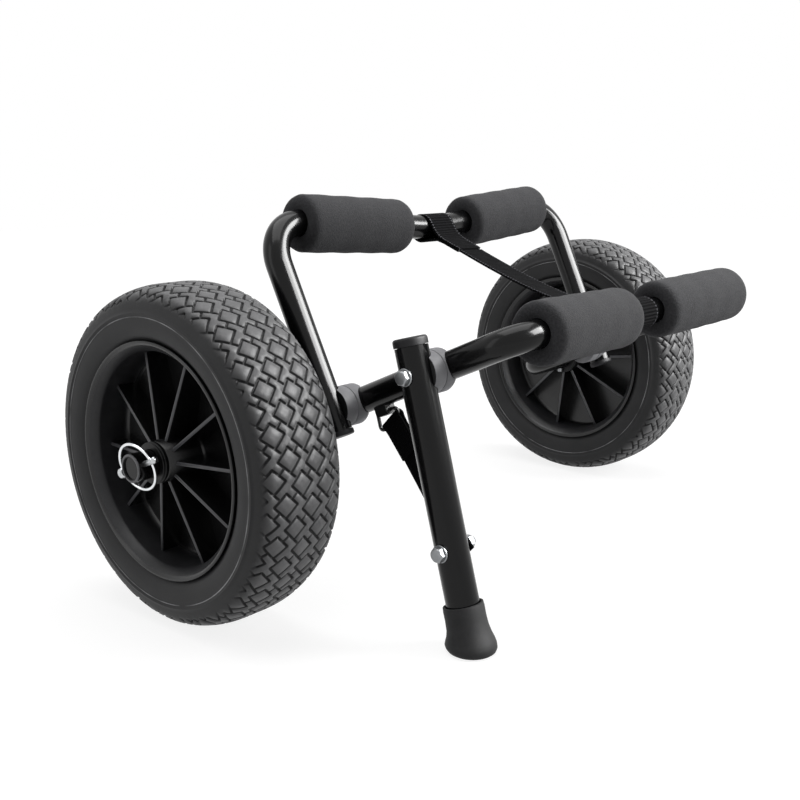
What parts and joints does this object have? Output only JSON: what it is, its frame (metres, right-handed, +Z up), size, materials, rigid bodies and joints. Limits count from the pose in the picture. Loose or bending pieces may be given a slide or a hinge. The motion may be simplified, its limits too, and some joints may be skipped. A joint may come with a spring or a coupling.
{
  "type": "kayak cart",
  "caption": "Folding two-wheel cart that carries a kayak on padded cross bars, with wide wheels, a strap that holds the frame open and a hinged kickstand.",
  "frame": {"origin": "on the ground, under the middle of the cart's overall box", "axes": "+X towards the right wheel, along the axle; -Y towards the lower cross bar and the kickstand; +Z up"},
  "size_m": [0.6516, 0.3708, 0.3134],
  "materials": {
    "paint": "gloss",
    "foam": "matte",
    "tyre": "matte",
    "rim_plastic": "gloss",
    "dark_plastic": "satin",
    "black_plastic": "satin",
    "foot_rubber": "matte",
    "zinc": "satin",
    "webbing": "matte"
  },
  "bodies": {
    "front_frame": {"front_frame_tube": "paint", "front_pad_left": "foam", "front_pad_right": "foam", "axle_plug_left": "black_plastic", "axle_plug_right": "black_plastic", "axle_stop_pin_left": "zinc", "axle_stop_pin_right": "zinc", "wheel_washer_inner_left": "black_plastic", "wheel_washer_inner_right": "black_plastic", "wheel_washer_outer_left": "black_plastic", "wheel_washer_outer_right": "black_plastic", "pivot_left_saddle_inner": "dark_plastic", "pivot_left_bolt": "zinc", "pivot_left_outer_washer": "zinc", "pivot_left_inner_washer": "zinc", "pivot_left_nut": "zinc", "pivot_right_saddle_inner": "dark_plastic", "pivot_right_bolt": "zinc", "pivot_right_outer_washer": "zinc", "pivot_right_inner_washer": "zinc", "pivot_right_nut": "zinc", "kickstand_pivot_saddle_inner": "dark_plastic", "kickstand_pivot_bolt": "zinc", "kickstand_pivot_outer_washer": "zinc", "kickstand_pivot_inner_washer": "zinc", "kickstand_pivot_nut": "zinc", "frame_strap_front_loop": "webbing", "frame_strap": "webbing", "strap_ring": "black_plastic", "strap_ring_clip": "black_plastic", "kickstand_strap": "webbing"},
    "rear_frame": {"rear_frame_tube": "paint", "rear_pad_left": "foam", "rear_pad_right": "foam", "rear_leg_plug_left": "dark_plastic", "rear_leg_plug_right": "dark_plastic", "pivot_left_saddle_outer": "dark_plastic", "pivot_right_saddle_outer": "dark_plastic", "frame_strap_rear_loop": "webbing"},
    "kickstand": {"kickstand_tube": "paint", "kickstand_cap": "dark_plastic", "kickstand_foot": "foot_rubber", "kickstand_pivot_saddle_outer": "dark_plastic", "kickstand_lower_bolt": "zinc", "kickstand_lower_outer_washer": "zinc", "kickstand_lower_inner_washer": "zinc", "kickstand_lower_nut": "zinc"},
    "wheel_left": {"tyre_left": "tyre", "rim_left": "rim_plastic", "hub_bush_outer_left": "black_plastic", "hub_bush_inner_left": "black_plastic"},
    "wheel_right": {"tyre_right": "tyre", "rim_right": "rim_plastic", "hub_bush_outer_right": "black_plastic", "hub_bush_inner_right": "black_plastic"},
    "lock_left": {"lock_pin_left": "zinc", "lock_ring_left": "zinc"},
    "lock_right": {"lock_pin_right": "zinc", "lock_ring_right": "zinc"}
  },
  "joints": [
    {"name": "rear_frame_fold", "type": "hinge", "parent": "front_frame", "child": "rear_frame", "pos_m": [0, -0.00746, 0.15471], "axis": [1, 0, 0], "range_deg": [0, 64], "deforming": ["frame_strap"]},
    {"name": "kickstand_fold", "type": "hinge", "parent": "front_frame", "child": "kickstand", "pos_m": [-0.192, -0.09458, 0.19133], "axis": [1, 0, 0], "range_deg": [0, 56], "deforming": ["kickstand_strap"]},
    {"name": "wheel_left_spin", "type": "hinge", "parent": "front_frame", "child": "wheel_left", "pos_m": [-0.27, 0.05845, 0.127], "axis": [1, 0, 0], "continuous": true},
    {"name": "wheel_right_spin", "type": "hinge", "parent": "front_frame", "child": "wheel_right", "pos_m": [0.27, 0.05845, 0.127], "axis": [1, 0, 0], "continuous": true},
    {"name": "lock_left_turn", "type": "hinge", "parent": "front_frame", "child": "lock_left", "pos_m": [-0.3194, 0.05845, 0.127], "axis": [0, -0.9252, 0.3795], "range_deg": [-46, 18]},
    {"name": "lock_right_turn", "type": "hinge", "parent": "front_frame", "child": "lock_right", "pos_m": [0.3194, 0.05845, 0.127], "axis": [0, -0.9252, 0.3795], "range_deg": [-18, 46]}
  ]
}
